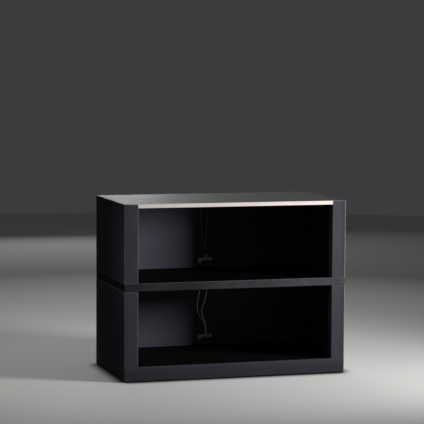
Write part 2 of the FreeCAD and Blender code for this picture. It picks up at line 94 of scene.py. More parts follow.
LEAD_ROUTES = {
    "lower_left_lead": [
        (-0.0160, 0.21400, 0.348), (-0.0155, 0.21425, 0.320), (-0.0170, 0.21450, 0.287),
        (-0.0240, 0.21475, 0.250), (-0.0280, 0.21500, 0.215), (-0.0190, 0.21525, 0.185),
        (0.0000, 0.21550, 0.160), (0.0090, 0.21575, 0.139), (0.0085, 0.21600, 0.115),
    ],
    "lower_right_lead": [
        (0.0130, 0.21400, 0.348), (0.0120, 0.21425, 0.320), (0.0135, 0.21450, 0.287),
        (0.0070, 0.21475, 0.247), (-0.0105, 0.21500, 0.209), (-0.0030, 0.21525, 0.178),
        (0.0085, 0.21550, 0.156), (0.0120, 0.21575, 0.138), (0.0125, 0.21600, 0.115),
    ],
    "upper_left_lead": [
        (-0.0110, 0.21400, 0.670), (-0.0120, 0.21425, 0.642), (-0.0115, 0.21450, 0.607),
        (-0.0130, 0.21475, 0.571), (-0.0100, 0.21500, 0.537), (-0.0065, 0.21525, 0.505),
        (0.0005, 0.21550, 0.476), (0.0065, 0.21575, 0.455), (0.0085, 0.21600, 0.433),
    ],
    "upper_right_lead": [
        (0.0170, 0.21400, 0.670), (0.0165, 0.21425, 0.642), (0.0170, 0.21450, 0.607),
        (0.0140, 0.21475, 0.571), (0.0100, 0.21500, 0.537), (0.0080, 0.21525, 0.506),
        (0.0070, 0.21550, 0.477), (0.0105, 0.21575, 0.457), (0.0125, 0.21600, 0.433),
    ],
}
LEAD_STEPS = 16

# How metallic the strands in a lead are, at least and at most; the shaded strands, with a greyer sheath, are
# a painted shade copy for the upper leads

BRIGHT_STRANDS = (0.4, 0.8)
SHADED_STRANDS = (0.2, 0.6)

# Which way the lines in the lacquer run: how tightly they vary along X and along Z

ACROSS = (0.03, 1.0)
UPRIGHT = (1.0, 0.03)

# Lacquer on some of a board's faces, with heights in metres

Floor = namedtuple("Floor", "colour roughness")
Front = namedtuple("Front", "colour roughness start drift")
Rise = namedtuple("Rise", "low high factor")

# Base painted darker towards the floor and lighter towards its top: painted shade
BASE_PAINTED_SHADE = Rise(low=0.026, high=0.058, factor=1.7)
RISE_CURVE = 1.5
FRONT_LIFT = 0.0032
# Middle board's front painted darker at its left end and lighter at its right: painted light and shade
FRONT_PAINTED_FALLOFF = 0.30
FRONT_BLUR = 0.001
DULL_SHINE = 0.05

# How squarely a face looks along an axis where its mask starts, and where it is full

NEARLY_SQUARE = 0.90
SQUARE = 0.99

# Small features that the finishes draw, in metres, and their colours

THREAD_PITCH = 0.00125
TAPE_LAMP_PITCH = 1 / 60
TAPE_LAMP_HALF = 0.0014
TAPE_PAD_HALF = 0.0020
TAPE_PAD_FROM_MIDDLE = 0.0022
# Faces deeper than this in a connector block's sockets are painted near black: painted shade
SOCKET_DEPTH = 0.002
SOCKET_BLUR = 0.001
SCUFF_HEIGHT = 0.0025
COPPER = (0.72, 0.36, 0.16)
PHOSPHOR = (0.85, 0.62, 0.10)

# Lamps: place, target and size in metres, spread in degrees

Lamp = namedtuple("Lamp", "place target width height spread")

LAMPS = {
    "key": Lamp((2.227, -1.607, 0.949), (0.165, -0.10, 0.610), width=0.74, height=0.52, spread=71.0),
    "rim": Lamp((0.40, 5.0, 1.6), (0.0, 0.0, 0.6), width=1.54, height=2.0, spread=180.0),
    "fill": Lamp((2.30, 5.0, 1.6), (0.0, 0.0, 0.6), width=1.90, height=2.0, spread=180.0),
    "side": Lamp((-2.5, -0.45, 0.75), (0.40, -0.21, 0.40), width=0.10, height=0.20, spread=17.0),
}

# Camera: place and reach in metres, sensor in millimetres, turns in degrees

CAMERA_PLACE = (-2.24045, -7.19676, 1.30277)
CAMERA_YAW = 17.0641
CAMERA_PITCH = 5.1007
CAMERA_ROLL = 0.3507
CAMERA_REACH = 100.0
SENSOR_WIDTH = 36.0

# Floor of the studio: where it starts to fade, how far a contact shadow reaches, and tones of its colour

FLOOR_CORNERS = 128
FADE_START = 1.0
CONTACT_REACH = 0.06
FADED_TONE = 0.20
CONTACT_TONE = 0.02
BOUNCE_TONE = 0.12


# Sizes and colours that a user would change

def colour_setting(name, description, default):
    """Colour property."""
    return bpy.props.FloatVectorProperty(
        name=name, description=description, default=default, subtype="COLOR", size=3, min=0.0, max=1.0)


def roughness_setting(name, description, default):
    """Roughness property."""
    return bpy.props.FloatProperty(
        name=name, description=description, default=default, min=0.1, max=0.9, subtype="FACTOR")


def power_setting(name, description, default):
    """Power property of a lamp."""
    return bpy.props.FloatProperty(name=name, description=description, default=default, min=0.0, unit="POWER")


class CabinetFinish(bpy.types.PropertyGroup):
    """Colours and surfaces of the cabinet."""

    lacquer: colour_setting("Lacquer", "Satin lacquer of the boards", (0.0500, 0.0490, 0.0610))
    base_lacquer: colour_setting("Base lacquer", "Darker lacquer of the base", (0.0372, 0.0342, 0.0432))
    back_lacquer: colour_setting("Back lacquer", "Lacquer of the back panels", (0.0930, 0.0900, 0.1170))
    black_lacquer: colour_setting("Black lacquer", "Lacquer of the bay floors", (0.0060, 0.0059, 0.0068))
    middle_lacquer: colour_setting(
        "Middle lacquer", "Metallic lacquer on the middle board's front", (0.085, 0.081, 0.090))
    # Tone of the arrises: wear, and a painted highlight along them
    edge_wear_and_highlight: colour_setting("Lacquer edge", "Lacquer worn thin and painted lighter on arrises", (0.200, 0.196, 0.212))
    dust: colour_setting("Dust", "Dust on faces that look up", (0.30, 0.29, 0.28))
    raw_board: colour_setting("Raw board", "Unpainted fibreboard", (0.36, 0.24, 0.14))
    beech: colour_setting("Beech", "Plain beech", (0.60, 0.42, 0.25))
    trim: colour_setting("Trim", "Satin metal on the top's front edge", (0.80, 0.745, 0.73))
    channel: colour_setting("Channel", "Anodised light channels", (0.75, 0.76, 0.77))
    zinc: colour_setting("Zinc", "Bright zinc plate of screws, brackets and feet", (0.62, 0.63, 0.65))
    tape: colour_setting("Lamp tape", "White circuit tape", (0.85, 0.84, 0.78))
    opal: colour_setting("Opal", "Opal diffusers", (0.90, 0.90, 0.88))
    moulding: colour_setting("Moulding", "Pale mouldings of connectors and caps", (0.82, 0.82, 0.81))
    sheath: colour_setting("Lead sheath", "Sheath of the leads", (0.88, 0.88, 0.87))
    rubber: colour_setting("Rubber", "Grommets", (0.030, 0.030, 0.031))
    foot: colour_setting("Foot", "Pads of the levelling feet", (0.020, 0.020, 0.021))
    lacquer_roughness: roughness_setting("Lacquer roughness", "How matt the lacquer is", 0.50)
    side_roughness: roughness_setting("Side roughness", "How matt the side panels are", 0.80)
    floor_roughness: roughness_setting("Bay floor roughness", "How matt the bay floors are", 0.70)
    middle_roughness: roughness_setting("Middle roughness", "How matt the middle board's front is", 0.39)
    trim_roughness: roughness_setting("Trim roughness", "How matt the trim is", 0.84)
    channel_roughness: roughness_setting("Channel roughness", "How matt the light channels are", 0.36)
    zinc_roughness: roughness_setting("Zinc roughness", "How matt the zinc plate is", 0.30)
    bracket_roughness: roughness_setting("Bracket roughness", "How matt the brackets are", 0.45)
    bracket_screw_roughness: roughness_setting("Bracket screw roughness", "How matt their screws are", 0.75)


class CabinetLeads(bpy.types.PropertyGroup):
    """Size of the leads."""

    diameter: bpy.props.FloatProperty(
        name="Diameter", description="Diameter of a lead over its sheath", default=0.0022, min=0.0005,
        max=0.006, unit="LENGTH")
    roundness: bpy.props.IntProperty(
        name="Roundness", description="Facets in a quarter of a lead's section", default=5, min=2, max=12)


class CabinetStudio(bpy.types.PropertyGroup):
    """Floor, lamps and camera."""

    floor: colour_setting("Floor", "Plain pale floor", (0.86, 0.85, 0.83))
    floor_glow: bpy.props.FloatProperty(
        name="Floor glow", description="Share of the floor's colour that the camera sees without any lamp",
        default=0.16, min=0.0, max=1.0, subtype="FACTOR")
    backdrop: colour_setting("Backdrop", "Plain grey all round", (0.045, 0.045, 0.047))
    floor_fade: bpy.props.FloatProperty(
        name="Floor fade", description="Distance at which the pale floor has faded", default=3.2, min=1.5,
        unit="LENGTH")
    floor_radius: bpy.props.FloatProperty(
        name="Floor radius", description="Radius of the floor", default=7.0, min=2.0, unit="LENGTH")
    key_power: power_setting("Key power", "Soft lamp on the right of the front", 16.2)
    rim_power: power_setting("Rim power", "Soft lamp behind, that the top reflects", 46.0)
    fill_power: power_setting("Fill power", "Weak lamp behind on the right, that the top reflects", 6.0)
    side_power: power_setting("Side power", "Weak lamp on the left, almost level with the front", 0.05)
    lens: bpy.props.FloatProperty(
        name="Lens", description="Focal length on a 36 mm sensor", default=160.852, min=10.0, unit="CAMERA")


# Node building

def put(tree, kind, **settings):
    """New node in a tree, with its own settings."""
    node = tree.nodes.new(kind)
    for name, value in settings.items():
        setattr(node, name, value)
    return node


def set_input(tree, socket, value):
    """Links a socket to another one, or gives it a value."""
    if isinstance(value, bpy.types.NodeSocket):
        tree.links.new(value, socket)
    else:
        socket.default_value = value


def calc(tree, operation, first, second=0.0):
    """Result of a sum on two sockets or numbers."""
    node = put(tree, "ShaderNodeMath", operation=operation)
    set_input(tree, node.inputs[0], first)
    set_input(tree, node.inputs[1], second)
    return node.outputs[0]


def plus(tree, first, *others):
    """Sum of sockets or numbers."""
    for other in others:
        first = calc(tree, "ADD", first, other)
    return first


def times(tree, first, *others):
    """Product of sockets or numbers."""
    for other in others:
        first = calc(tree, "MULTIPLY", first, other)
    return first


def remap(tree, value, low, high, new_low, new_high):
    """Value taken from one range to another, and kept within it."""
    node = put(tree, "ShaderNodeMapRange")
    set_input(tree, node.inputs["Value"], value)
    for name, number in zip(("From Min", "From Max", "To Min", "To Max"), (low, high, new_low, new_high)):
        set_input(tree, node.inputs[name], number)
    return node.outputs["Result"]


def ramp(tree, value, start, end):
    """Mask that grows from 0 where the value is at its start to 1 where it is at its end."""
    return remap(tree, value, start, end, 0.0, 1.0)


def tint(tree, mask, first, second):
    """Colour between two colours, by a mask."""
    node = put(tree, "ShaderNodeMix", data_type="RGBA")
    set_input(tree, node.inputs[0], mask)
    for socket, colour in zip((node.inputs[6], node.inputs[7]), (first, second)):
        set_input(tree, socket, colour if isinstance(colour, bpy.types.NodeSocket) else (*colour, 1.0))
    return node.outputs[2]


def scaled_colour(colour, factor):
    """Colour made lighter or darker."""
    return tuple(min(1.0, channel * factor) for channel in colour)


def shaded(tree, mask, colour, dark, light):
    """Colour that goes from a darker to a lighter tone of itself, by a mask."""
    return tint(tree, mask, scaled_colour(colour, dark), scaled_colour(colour, light))


def axes(tree, vector):
    """X, Y and Z of a vector."""
    node = put(tree, "ShaderNodeSeparateXYZ")
    tree.links.new(vector, node.inputs[0])
    return node.outputs


def place_axes(tree):
    """Place on the object in metres, along each axis."""
    return axes(tree, put(tree, "ShaderNodeTexCoord").outputs["Object"])


def look_axes(tree):
    """Way that the surface looks, along each axis."""
    return axes(tree, put(tree, "ShaderNodeNewGeometry").outputs["Normal"])


def faces(tree, axis, way):
    """Mask of the flat faces that look along an axis, the way being 1.0 or -1.0."""
    return ramp(tree, look_axes(tree)[axis], way * NEARLY_SQUARE, way * SQUARE)


def object_place(tree, stretch=(1.0, 1.0, 1.0)):
    """Place on the object in metres, each axis times its stretch."""
    scaled = put(tree, "ShaderNodeVectorMath", operation="MULTIPLY")
    tree.links.new(put(tree, "ShaderNodeTexCoord").outputs["Object"], scaled.inputs[0])
    set_input(tree, scaled.inputs[1], stretch)
    return scaled.outputs[0]


def noise(tree, place, scale, detail=2.0, roughness=0.5):
    """Soft noise from 0 to 1."""
    node = put(tree, "ShaderNodeTexNoise")
    tree.links.new(place, node.inputs["Vector"])
    set_input(tree, node.inputs["Scale"], scale)
    node.inputs["Detail"].default_value = detail
    node.inputs["Roughness"].default_value = roughness
    return node.outputs["Fac"]


def new_group(name, inputs, outputs):
    """Node group with float inputs and outputs, with the sockets at its two ends."""
    group = bpy.data.node_groups.new(name, "ShaderNodeTree")
    for label, default in inputs:
        socket = group.interface.new_socket(label, in_out="INPUT", socket_type="NodeSocketFloat")
        socket.default_value = default
    for label in outputs:
        group.interface.new_socket(label, in_out="OUTPUT", socket_type="NodeSocketFloat")
    return group, put(group, "NodeGroupInput").outputs, put(group, "NodeGroupOutput").inputs


# Effects that several finishes share

def spray_texture():
    """Fine peel of a sprayed or moulded surface, and its slow mottle."""
    inputs = [("Scale", 400.0), ("Mottle scale", 7.0)]
    group, given, made = new_group("Spray texture", inputs, ["Height", "Mottle"])
    place = object_place(group)
    peel = noise(group, place, given["Scale"], detail=2.0, roughness=0.45)
    fine = noise(group, place, times(group, given["Scale"], 5.0), detail=1.0)
    group.links.new(plus(group, times(group, peel, 0.7), times(group, fine, 0.3)), made["Height"])
    mottle = noise(group, place, given["Mottle scale"], detail=3.0, roughness=0.55)
    group.links.new(mottle, made["Mottle"])
    return group


def edge_wear():
    """Mask along outside edges, broken up by noise."""
    inputs = [("Width", 0.0015), ("Wear", 0.5), ("Break up", 90.0)]
    group, given, made = new_group("Edge wear", inputs, ["Mask"])
    rounded = put(group, "ShaderNodeBevel", samples=6)
    group.links.new(given["Width"], rounded.inputs["Radius"])
    likeness = put(group, "ShaderNodeVectorMath", operation="DOT_PRODUCT")
    group.links.new(rounded.outputs["Normal"], likeness.inputs[0])
    group.links.new(put(group, "ShaderNodeNewGeometry").outputs["Normal"], likeness.inputs[1])
    bend = ramp(group, likeness.outputs["Value"], 0.995, 0.86)
    patches = noise(group, object_place(group), given["Break up"], detail=3.0, roughness=0.6)
    patchy = remap(group, patches, 0.3, 0.7, 0.35, 1.0)
    group.links.new(times(group, bend, patchy, given["Wear"]), made["Mask"])
    return group


def arris_wear_and_highlight():
    """Mask of wear and painted highlight on the rounded arrises of square pieces, broken up by noise, less on
    arrises that look down.
    """
    inputs = [("Wear", 0.5), ("Under", 0.0), ("Break up", 70.0)]
    group, given, made = new_group("Rubbed arris", inputs, ["Mask"])
    look = look_axes(group)
    squarest = calc(group, "ABSOLUTE", look["X"])
    for axis in "YZ":
        squarest = calc(group, "MAXIMUM", squarest, calc(group, "ABSOLUTE", look[axis]))
    rounding = ramp(group, squarest, 0.995, 0.93)
    not_looking_down = calc(group, "MAXIMUM", ramp(group, look["Z"], -0.40, -0.05), given["Under"])
    patches = noise(group, object_place(group), given["Break up"], detail=3.0, roughness=0.6)
    patchy = remap(group, patches, 0.3, 0.7, 0.4, 1.0)
    group.links.new(times(group, rounding, not_looking_down, patchy, given["Wear"]), made["Mask"])
    return group


def settled_dust():
    """Mask of the dust that lies on faces that look up."""
    group, given, made = new_group("Settled dust", [("Amount", 0.1), ("Scale", 30.0)], ["Mask"])
    up = ramp(group, look_axes(group)["Z"], 0.6, 1.0)
    place = object_place(group)
    film = noise(group, place, given["Scale"], detail=4.0, roughness=0.6)
    film = remap(group, film, 0.35, 0.75, 0.3, 1.0)
    specks = ramp(group, noise(group, place, 900.0, detail=1.0), 0.70, 0.78)
    lying = calc(group, "MAXIMUM", film, specks)
    group.links.new(times(group, lying, up, given["Amount"]), made["Mask"])
    return group


def rubbing_marks():
    """Mask of faint smears from handling."""
    group, given, made = new_group("Rubbing marks", [("Scale", 9.0), ("Amount", 0.5)], ["Mask"])
    smear = noise(group, object_place(group, (1.0, 1.0, 0.35)), given["Scale"], detail=4.0, roughness=0.65)
    group.links.new(times(group, ramp(group, smear, 0.45, 0.75), given["Amount"]), made["Mask"])
    return group


def laid_lines():
    """Faint lines that a lacquer keeps along a board."""
    inputs = [("Scale", 170.0), ("Across x", 1.0), ("Across z", 1.0)]
    group, given, made = new_group("Laid lines", inputs, ["Streak"])
    stretch = put(group, "ShaderNodeCombineXYZ")
    for axis, value in (("X", given["Across x"]), ("Y", 1.0), ("Z", given["Across z"])):
        set_input(group, stretch.inputs[axis], value)
    place = object_place(group, stretch.outputs[0])
    group.links.new(noise(group, place, given["Scale"], detail=4.0, roughness=0.6), made["Streak"])
    return group


def drawn_lines():
    """Fine lines along a drawn or brushed metal section, left to right."""
    group, given, made = new_group("Drawn lines", [("Scale", 1400.0)], ["Height", "Streak"])
    fine = noise(group, object_place(group, (0.004, 1.0, 1.0)), given["Scale"], detail=3.0, roughness=0.6)
    broad = times(group, given["Scale"], 0.16)
    streak = noise(group, object_place(group, (0.01, 1.0, 1.0)), broad, detail=2.0)
    group.links.new(fine, made["Height"])
    group.links.new(streak, made["Streak"])
    return group


def wood_fibre():
    """Fibres and pores of wood or fibreboard."""
    group, given, made = new_group("Wood fibre", [("Scale", 300.0), ("Pores", 0.5)], ["Fibre", "Height"])
    fibre = noise(group, object_place(group, (1.0, 1.0, 0.12)), given["Scale"], detail=5.0, roughness=0.7)
    pores = noise(group, object_place(group), times(group, given["Scale"], 3.0), detail=2.0)
    sunk = times(group, ramp(group, pores, 0.6, 0.72), given["Pores"])
    group.links.new(fibre, made["Fibre"])
    group.links.new(calc(group, "SUBTRACT", fibre, sunk), made["Height"])
    return group


EFFECTS = {
    "spray": spray_texture,
    "edges": edge_wear,
    "arris": arris_wear_and_highlight,
    "dust": settled_dust,
    "rubbing": rubbing_marks,
    "laid": laid_lines,
    "lines": drawn_lines,
    "fibre": wood_fibre,
}
made_effects = {}


def effect(tree, name, **values):
    """Shared effect placed in a material with its own values; returns its outputs."""
    if name not in made_effects:
        made_effects[name] = EFFECTS[name]()
    node = put(tree, "ShaderNodeGroup", node_tree=made_effects[name])
    for label, value in values.items():
        node.inputs[label.replace("_", " ").capitalize()].default_value = value
    return node.outputs


# Finishes

def new_finish(name, **constants):
    """Material with a Principled BSDF whose named sockets hold constants."""
    material = bpy.data.materials.new(name)
    material.use_nodes = True
    tree = material.node_tree
    shader = tree.nodes["Principled BSDF"]
    for label, value in constants.items():
        shader.inputs[label.replace("_", " ")].default_value = value
    return material, tree, shader


def feed(tree, shader, **sockets):
    """Links the shader's named sockets to other sockets."""
    for label, socket in sockets.items():
        tree.links.new(socket, shader.inputs[label.replace("_", " ")])


def bump(tree, shader, height, strength, distance):
    """Bump from a height, on the shader's normal."""
    node = put(tree, "ShaderNodeBump")
    node.inputs["Strength"].default_value = strength
    node.inputs["Distance"].default_value = distance
    tree.links.new(height, node.inputs["Height"])
    feed(tree, shader, Normal=node.outputs["Normal"])


def lacquer_finish(finish, name, colour, roughness, lay, floor=None, front=None, rise=None, edge=1.0,
                   flank=None, under=0.0, dusting=0.012, shine=0.12):
    """Satin lacquer on board, with faint lines along the board, a little dusty, and a lighter tone along the
    arrises that is partly wear and partly a painted highlight.

    A floor is for faces that look up. A front is a metallic lacquer for faces that look to the front, from
    a height upwards, with painted light and shade across it: darker by its painted falloff at the left end
    and lighter by it at the right end. A rise paints shade on the lacquer, which grows lighter from its low
    height to its high one. Edge and flank scale the tone of the arrises, wear and painted highlight together,
    flank that of arrises beside a face that looks sideways. Under is how much of that tone there is on
    arrises that look down."""
    material, tree, shader = new_finish(name, Specular_IOR_Level=shine)
    spray = effect(tree, "spray", scale=420.0, mottle_scale=6.0)
    laid = effect(tree, "laid", scale=170.0, across_x=lay[0], across_z=lay[1])
    arris = effect(tree, "arris", wear=0.9, under=under, break_up=70.0)
    dust = effect(tree, "dust", amount=dusting, scale=22.0)
    marks = effect(tree, "rubbing", scale=7.0, amount=1.0)
    tone = times(tree, plus(tree, spray["Mottle"], laid["Streak"]), 0.5)
    place = place_axes(tree)

    def toned(shade, factor=1.0):
        """Shade, made lighter or darker, with the mottle and lines of the lacquer."""
        return shaded(tree, tone, scaled_colour(shade, factor), 0.78, 1.24)

    body = toned(colour)
    gloss = remap(tree, tone, 0.3, 0.7, roughness - 0.04, roughness + 0.04)
    # Painted shade: the lacquer grows lighter from the rise's low height to its high one
    if rise:
        share = calc(tree, "POWER", ramp(tree, place["Z"], rise.low, rise.high), RISE_CURVE)
        body = tint(tree, share, body, toned(colour, rise.factor))
    if floor:
        upward = faces(tree, "Z", 1.0)
        body = tint(tree, upward, body, toned(floor.colour))
        gloss = plus(tree, gloss, times(tree, upward, floor.roughness - roughness))
    if front:
        started = ramp(tree, place["Z"], front.start - FRONT_BLUR, front.start + FRONT_BLUR)
        forward = times(tree, faces(tree, "Y", -1.0), started)
        # Painted light and shade: the front is darker at the left end and lighter at the right end
        rightward = ramp(tree, place["X"], cad_box[0].x, cad_box[1].x)
        left_end = toned(front.colour, 1.0 - front.drift)
        right_end = toned(front.colour, 1.0 + front.drift)
        body = tint(tree, forward, body, tint(tree, rightward, left_end, right_end))
        gloss = plus(tree, gloss, times(tree, forward, front.roughness - roughness))
        feed(tree, shader, Metallic=forward)
    # Arrises take the edge tone: wear and a painted highlight
    arris_colour = scaled_colour(finish.edge_wear_and_highlight, edge)
    if flank:
        sideways = ramp(tree, calc(tree, "ABSOLUTE", look_axes(tree)["X"]), 0.05, 0.30)
        arris_colour = tint(tree, sideways, arris_colour, scaled_colour(finish.edge_wear_and_highlight, flank))
    rubbed = tint(tree, arris["Mask"], body, arris_colour)
    polished = times(tree, marks["Mask"], -0.05)
    hazy = times(tree, dust["Mask"], 1.5)
    feed(tree, shader, Base_Color=tint(tree, dust["Mask"], rubbed, finish.dust),
         Roughness=plus(tree, gloss, polished, hazy))
    height = plus(tree, spray["Height"], times(tree, laid["Streak"], 0.5))
    bump(tree, shader, height, strength=0.10, distance=0.0003)
    return material


def raw_board_finish(finish):
    """Unpainted fibreboard, with its fibres and pores."""
    material, tree, shader = new_finish("raw_fibreboard", Roughness=0.85)
    fibre = effect(tree, "fibre", scale=260.0, pores=0.6)
    edges = effect(tree, "edges", width=0.002, wear=0.5, break_up=120.0)
    body = shaded(tree, fibre["Fibre"], finish.raw_board, 0.7, 1.3)
    feed(tree, shader, Base_Color=tint(tree, edges["Mask"], body, scaled_colour(finish.raw_board, 1.5)))
    bump(tree, shader, fibre["Height"], strength=0.35, distance=0.0004)
    return material


def beech_finish(finish):
    """Plain beech, with its short flecks."""
    material, tree, shader = new_finish("beech_dowel", Roughness=0.6)
    fibre = effect(tree, "fibre", scale=700.0, pores=0.9)
    feed(tree, shader, Base_Color=shaded(tree, fibre["Fibre"], finish.beech, 0.72, 1.2))
    bump(tree, shader, fibre["Height"], strength=0.25, distance=0.0002)
    return material


def drawn_metal_finish(name, colour, roughness):
    """Satin drawn aluminium, with fine lines along it."""
    material, tree, shader = new_finish(name, Metallic=1.0)
    lines = effect(tree, "lines", scale=1500.0)
    marks = effect(tree, "rubbing", scale=14.0, amount=1.0)
    gloss = remap(tree, lines["Streak"], 0.3, 0.7, roughness - 0.05, roughness + 0.05)
    feed(tree, shader, Base_Color=shaded(tree, lines["Streak"], colour, 0.9, 1.06),
         Roughness=plus(tree, gloss, times(tree, marks["Mask"], 0.06)))
    bump(tree, shader, lines["Height"], strength=0.12, distance=0.0001)
    return material


def zinc_colours(tree, zinc):
    """Zinc plate's colour, slightly blue in places and slightly yellow in others."""
    spray = effect(tree, "spray", scale=900.0, mottle_scale=160.0)
    blue = (zinc[0] * 0.92, zinc[1] * 0.97, zinc[2] * 1.05)
    yellow = (zinc[0] * 1.06, zinc[1] * 1.02, zinc[2] * 0.90)
    return spray, tint(tree, ramp(tree, spray["Mottle"], 0.35, 0.65), blue, yellow)


def zinc_finish(name, zinc, roughness):
    """Zinc plate on small steel pieces, rubbed at its edges."""
    material, tree, shader = new_finish(name, Metallic=1.0)
    spray, colour = zinc_colours(tree, zinc)
    edges = effect(tree, "edges", width=0.0006, wear=0.8, break_up=600.0)
    feed(tree, shader, Base_Color=tint(tree, edges["Mask"], colour, scaled_colour(zinc, 1.3)),
         Roughness=remap(tree, spray["Mottle"], 0.3, 0.7, roughness - 0.06, roughness + 0.06))
    bump(tree, shader, spray["Height"], strength=0.15, distance=0.0001)
    return material


def thread_finish(finish):
    """Zinc-plated stem with a screw thread that runs round it, and painted shade in the thread's grooves."""
    material, tree, shader = new_finish("zinc_thread", Metallic=1.0)
    spray, colour = zinc_colours(tree, finish.zinc)
    across = axes(tree, put(tree, "ShaderNodeTexCoord").outputs["Generated"])
    sideways = calc(tree, "SUBTRACT", across["X"], 0.5)
    inwards = calc(tree, "SUBTRACT", across["Y"], 0.5)
    turn = calc(tree, "DIVIDE", calc(tree, "ARCTAN2", inwards, sideways), 2 * math.pi)
    wound = plus(tree, calc(tree, "DIVIDE", place_axes(tree)["Z"], THREAD_PITCH), turn)
    crest = ramp(tree, calc(tree, "PINGPONG", wound, 0.5), 0.0, 0.5)
    # Grooves of the thread darker than its crests: painted shade
    feed(tree, shader, Base_Color=tint(tree, crest, scaled_colour(finish.zinc, 0.35), colour),
         Roughness=remap(tree, spray["Mottle"], 0.3, 0.7, 0.30, 0.45))
    bump(tree, shader, crest, strength=0.8, distance=0.0006)
    return material


def tape_finish(finish):
    """White circuit tape with a row of small lamps and copper pads."""
    material, tree, shader = new_finish("lamp_tape", Roughness=0.5)
    spray = effect(tree, "spray", scale=1200.0, mottle_scale=60.0)
    place = place_axes(tree)
    half_pitch = TAPE_LAMP_PITCH / 2
    from_lamp = calc(tree, "PINGPONG", place["X"], half_pitch)
    from_pad = calc(tree, "PINGPONG", plus(tree, place["X"], half_pitch), 3 * half_pitch)
    middle_y = (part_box(TAPES[0])[0].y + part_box(TAPES[0])[1].y) / 2
    off_middle = calc(tree, "ABSOLUTE", calc(tree, "SUBTRACT", place["Y"], middle_y))
    lamp_along = calc(tree, "LESS_THAN", from_lamp, TAPE_LAMP_HALF)
    lamp = times(tree, lamp_along, calc(tree, "LESS_THAN", off_middle, TAPE_LAMP_HALF))
    pad_along = calc(tree, "LESS_THAN", from_pad, TAPE_PAD_HALF)
    pad = times(tree, pad_along, calc(tree, "GREATER_THAN", off_middle, TAPE_PAD_FROM_MIDDLE))
    with_pads = tint(tree, pad, shaded(tree, spray["Mottle"], finish.tape, 0.93, 1.0), COPPER)
    feed(tree, shader, Base_Color=tint(tree, lamp, with_pads, PHOSPHOR))
    raised = plus(tree, lamp, times(tree, spray["Height"], 0.1))
    bump(tree, shader, raised, strength=0.5, distance=0.0004)
    return material


def opal_finish(finish):
    """Opal diffuser, softly frosted."""
    material, tree, shader = new_finish("opal_diffuser", Subsurface_Weight=0.35, Subsurface_Scale=0.004)
    spray = effect(tree, "spray", scale=1600.0, mottle_scale=18.0)
    marks = effect(tree, "rubbing", scale=12.0, amount=1.0)
    feed(tree, shader, Base_Color=shaded(tree, spray["Mottle"], finish.opal, 0.95, 1.0),
         Roughness=remap(tree, marks["Mask"], 0.0, 1.0, 0.42, 0.55))
    bump(tree, shader, spray["Height"], strength=0.06, distance=0.0001)
    return material


def moulding_finish(finish, name, socket_y):
    """Pale moulded plastic, dusty on top, rubbed at its edges, and painted near black in sockets from a place
    in Y on, a painted shade.
    """
    material, tree, shader = new_finish(name, Coat_Weight=0.6, Coat_Roughness=0.12)
    spray = effect(tree, "spray", scale=1800.0, mottle_scale=45.0)
    edges = effect(tree, "edges", width=0.0007, wear=0.5, break_up=400.0)
    dust = effect(tree, "dust", amount=0.25, scale=120.0)
    body = shaded(tree, spray["Mottle"], finish.moulding, 0.92, 1.06)
    rubbed = tint(tree, edges["Mask"], body, scaled_colour(finish.moulding, 1.25))
    dusty = tint(tree, dust["Mask"], rubbed, finish.dust)
    # Faces at the bottom of the sockets are painted near black: painted shade
    in_socket_shade = ramp(tree, place_axes(tree)["Y"], socket_y, socket_y + SOCKET_BLUR)
    socket = times(tree, faces(tree, "Y", -1.0), in_socket_shade)
    feed(tree, shader, Base_Color=tint(tree, socket, dusty, scaled_colour(finish.moulding, 0.04)),
         Roughness=remap(tree, spray["Mottle"], 0.3, 0.7, 0.26, 0.36))
    bump(tree, shader, spray["Height"], strength=0.10, distance=0.0001)
    return material


def sheath_finish(name, colour, strand_metal):
    """Clear sheath of a lead, with metal strands that show through it and grey smears."""
    material, tree, shader = new_finish(name, Coat_Weight=1.0, Coat_Roughness=0.08)
    strands = noise(tree, object_place(tree, (1.0, 1.0, 0.02)), 2600.0, detail=2.0)
    marks = effect(tree, "rubbing", scale=55.0, amount=1.0)
    body = shaded(tree, strands, colour, 0.92, 1.06)
    smears = times(tree, marks["Mask"], 0.35)
    feed(tree, shader, Base_Color=tint(tree, smears, body, scaled_colour(colour, 0.6)),
         Metallic=remap(tree, strands, 0.3, 0.7, *strand_metal),
         Roughness=remap(tree, marks["Mask"], 0.0, 1.0, 0.22, 0.36))
    bump(tree, shader, strands, strength=0.15, distance=0.0001)
    return material


def rubber_finish(finish):
    """Black rubber with a grey bloom."""
    material, tree, shader = new_finish("grommet_rubber")
    spray = effect(tree, "spray", scale=1500.0, mottle_scale=220.0)
    dust = effect(tree, "dust", amount=0.2, scale=200.0)
    bloom = remap(tree, spray["Mottle"], 0.45, 0.7, 0.0, 0.5)
    body = shaded(tree, bloom, finish.rubber, 1.0, 2.4)
    feed(tree, shader, Base_Color=tint(tree, dust["Mask"], body, finish.dust),
         Roughness=remap(tree, spray["Mottle"], 0.3, 0.7, 0.62, 0.78))
    bump(tree, shader, spray["Height"], strength=0.25, distance=0.0001)
    return material


def foot_finish(finish):
    """Black moulded pad, scuffed where it meets the floor."""
    material, tree, shader = new_finish("foot_moulding")
    spray = effect(tree, "spray", scale=1300.0, mottle_scale=80.0)
    marks = effect(tree, "rubbing", scale=60.0, amount=1.0)
    near_floor = remap(tree, place_axes(tree)["Z"], 0.0, SCUFF_HEIGHT, 1.0, 0.0)
    scuffed = times(tree, near_floor, remap(tree, spray["Mottle"], 0.35, 0.65, 0.1, 0.6))
    feed(tree, shader, Base_Color=shaded(tree, scuffed, finish.foot, 1.0, 6.0),
         Roughness=remap(tree, marks["Mask"], 0.0, 1.0, 0.48, 0.62))
    bump(tree, shader, spray["Height"], strength=0.2, distance=0.0001)
    return material


def dress(names, material):
    """Gives the named nodes a finish."""
    for name in names:
        for slot in nodes[name].material_slots:
            slot.material = material


# Operators, one for each group of like pieces

